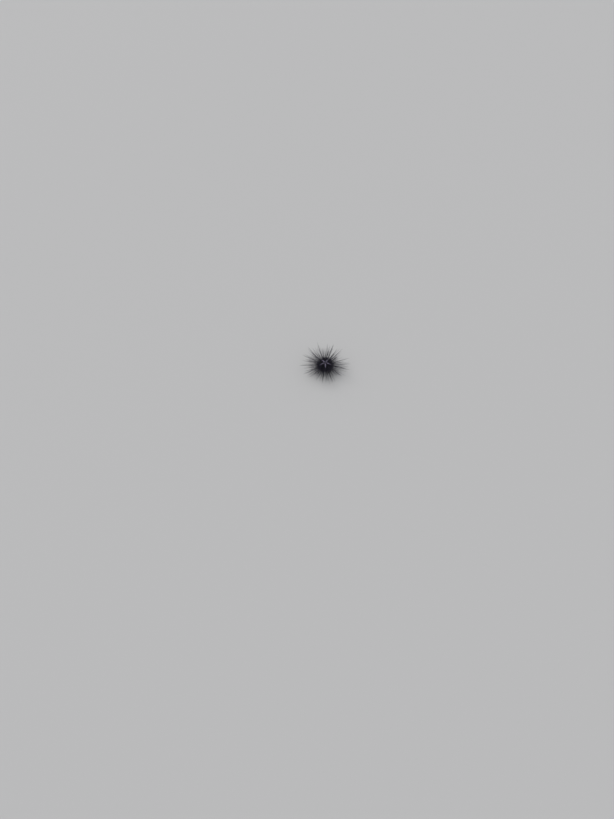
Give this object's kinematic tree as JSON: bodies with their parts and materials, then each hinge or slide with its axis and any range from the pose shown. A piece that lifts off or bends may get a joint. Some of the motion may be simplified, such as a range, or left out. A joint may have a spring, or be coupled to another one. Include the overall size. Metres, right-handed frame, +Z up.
{
  "type": "long-spined black sea urchin",
  "caption": "Life-size long-spined sea urchin standing on its lower spines, with its test parted into rayed fields, an apical disc, an anal cone and a toothed mouth.",
  "frame": {"origin": "on the floor under the middle of the body, at the foot of the axis through mouth and anus", "axes": "+Z up along the body's five-rayed axis from mouth to anus, -Y towards the viewer of the picture, +X to the viewer's right"},
  "size_m": [0.19, 0.174, 0.0687],
  "materials": {
    "shell": "satin, near-black violet skin and glossy brittle spines",
    "groove": "satin, near-black skin and glossy brittle spines",
    "disc": "satin dark plates",
    "cone": "soft dark membrane",
    "mouth_skin": "soft matte skin",
    "tooth": "smooth chalky white"
  },
  "bodies": {
    "root": {"interambulacrum_1": "shell", "interambulacrum_2": "shell", "interambulacrum_3": "shell", "interambulacrum_4": "shell", "interambulacrum_5": "shell", "ambulacrum_1": "groove", "ambulacrum_2": "groove", "ambulacrum_3": "groove", "ambulacrum_4": "groove", "ambulacrum_5": "groove", "apical_disc": "disc", "anal_cone": "cone", "peristome": "mouth_skin", "tooth_1": "tooth", "tooth_2": "tooth", "tooth_3": "tooth", "tooth_4": "tooth", "tooth_5": "tooth"}
  },
  "joints": []
}
